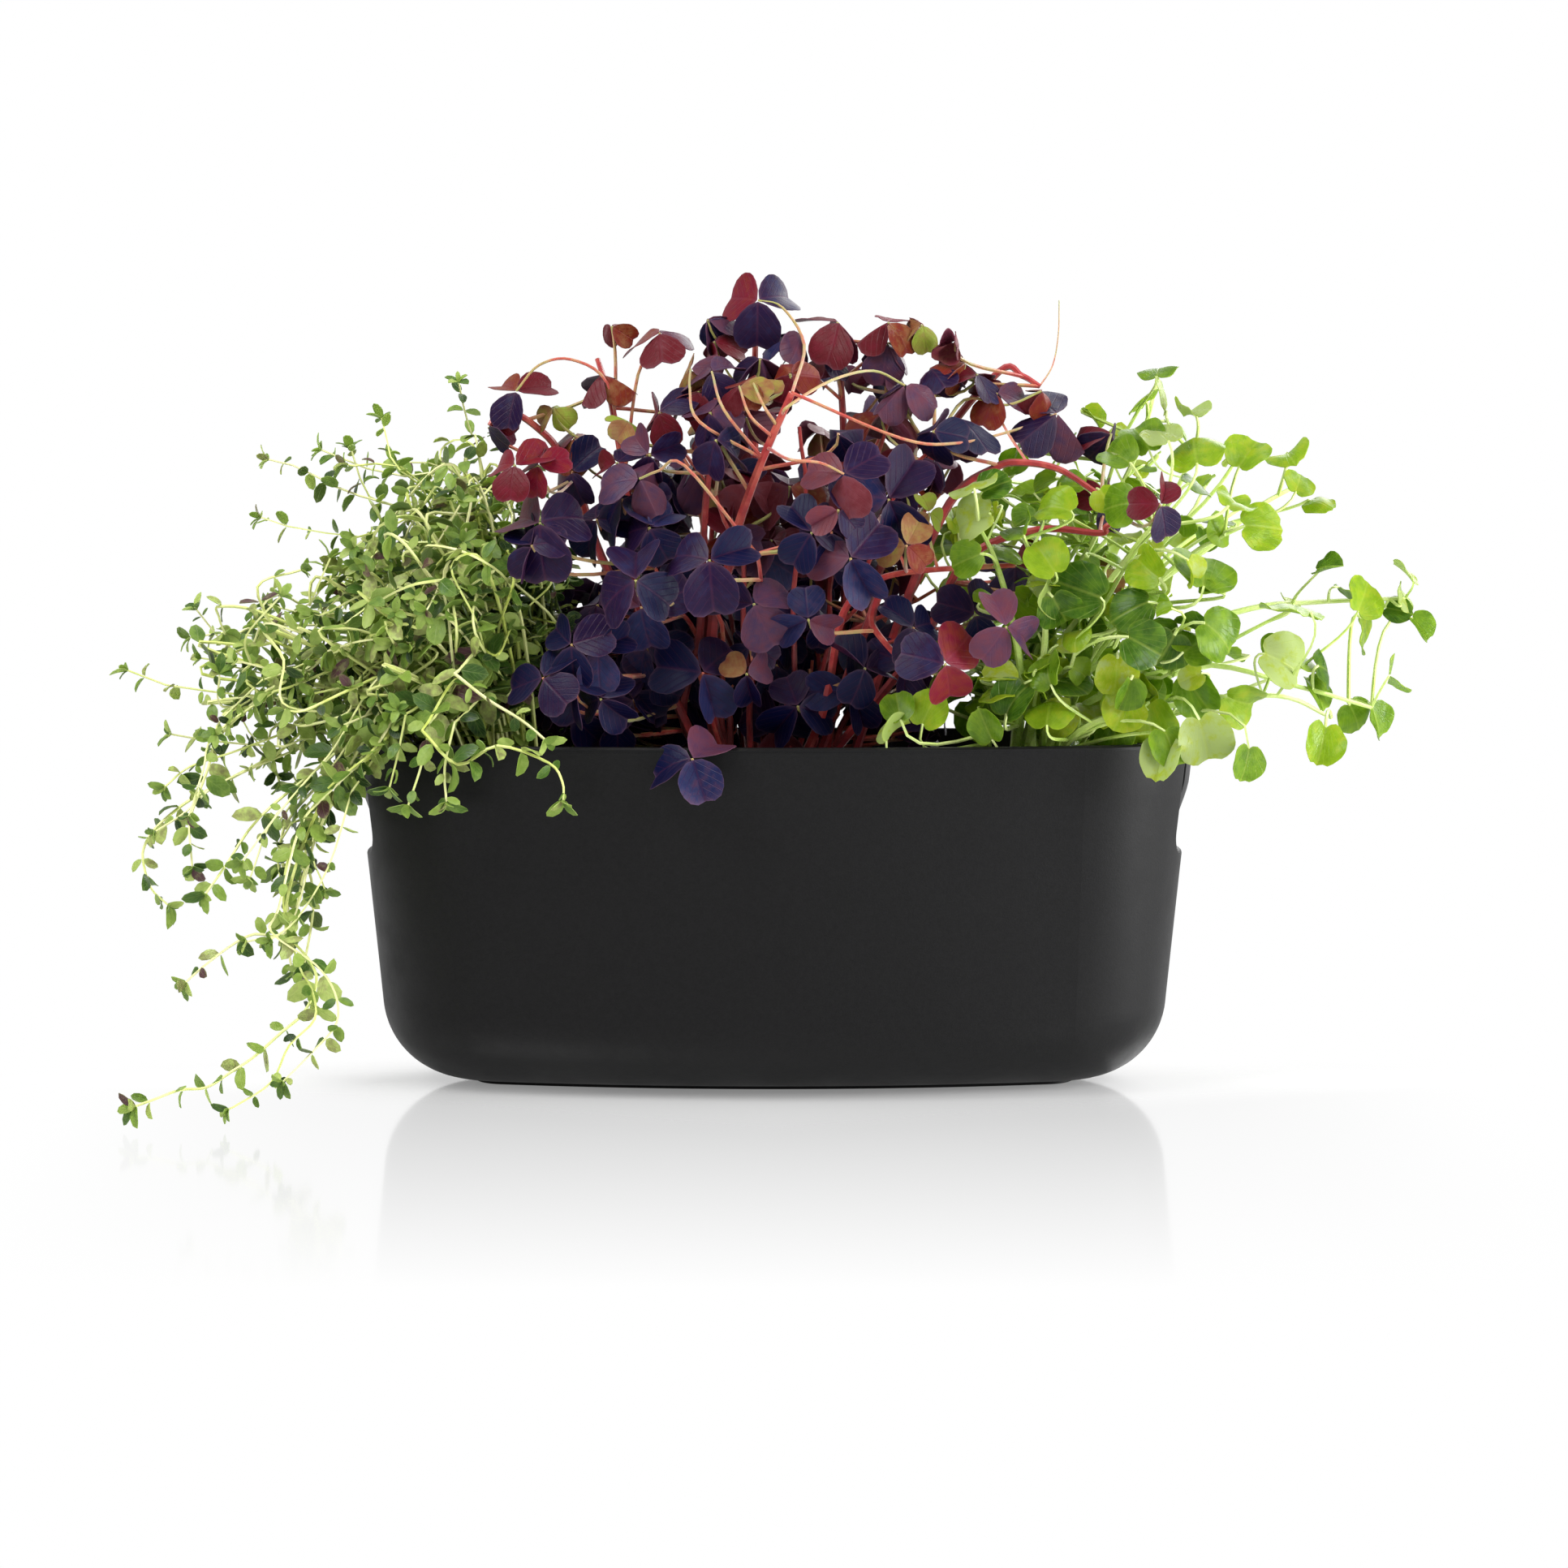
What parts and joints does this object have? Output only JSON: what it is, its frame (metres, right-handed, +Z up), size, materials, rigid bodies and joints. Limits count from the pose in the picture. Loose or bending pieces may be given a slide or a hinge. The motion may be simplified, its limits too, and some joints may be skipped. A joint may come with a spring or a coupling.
{
  "type": "self-watering herb planter",
  "caption": "Oblong self-watering planter: a black water container with a lift-out insert, felt wicks and mat, and herbs in nursery pots: trailing thyme, red wood sorrel and cress.",
  "frame": {"origin": "under the middle of the container, on the surface that it stands on", "axes": "+X along the planter to the right as seen from the front, -Y to the front, +Z up"},
  "size_m": [0.509, 0.2167, 0.3121],
  "materials": {
    "container_plastic": "matte",
    "ring_rubber": "matte",
    "insert_plastic": "matte",
    "felt": "matte",
    "pot_plastic": "satin",
    "compost": "matte",
    "thyme_green": "satin",
    "sorrel_purple": "satin",
    "cress_green": "satin"
  },
  "bodies": {
    "container": {"outer_container": "container_plastic", "foot_ring": "ring_rubber"},
    "insert": {"insert_pot": "insert_plastic", "capillary_mat": "felt", "wick_left": "felt", "wick_centre": "felt", "wick_right": "felt"},
    "thyme": {"thyme_pot": "pot_plastic", "thyme_root_ball": "compost", "thyme_sprigs": "thyme_green", "thyme_trailing_sprigs": "thyme_green"},
    "sorrel": {"sorrel_pot": "pot_plastic", "sorrel_root_ball": "compost", "sorrel_sprigs": "sorrel_purple"},
    "cress": {"cress_pot": "pot_plastic", "cress_root_ball": "compost", "cress_sprigs": "cress_green"}
  },
  "joints": [
    {"name": "insert_lift", "type": "slide", "parent": "container", "child": "insert", "axis": [0, 0, 1], "range_m": [0, 0.15]},
    {"name": "thyme_lift", "type": "slide", "parent": "insert", "child": "thyme", "axis": [0, 0, 1], "range_m": [0, 0.12]},
    {"name": "sorrel_lift", "type": "slide", "parent": "insert", "child": "sorrel", "axis": [0, 0, 1], "range_m": [0, 0.12]},
    {"name": "cress_lift", "type": "slide", "parent": "insert", "child": "cress", "axis": [0, 0, 1], "range_m": [0, 0.12]}
  ]
}
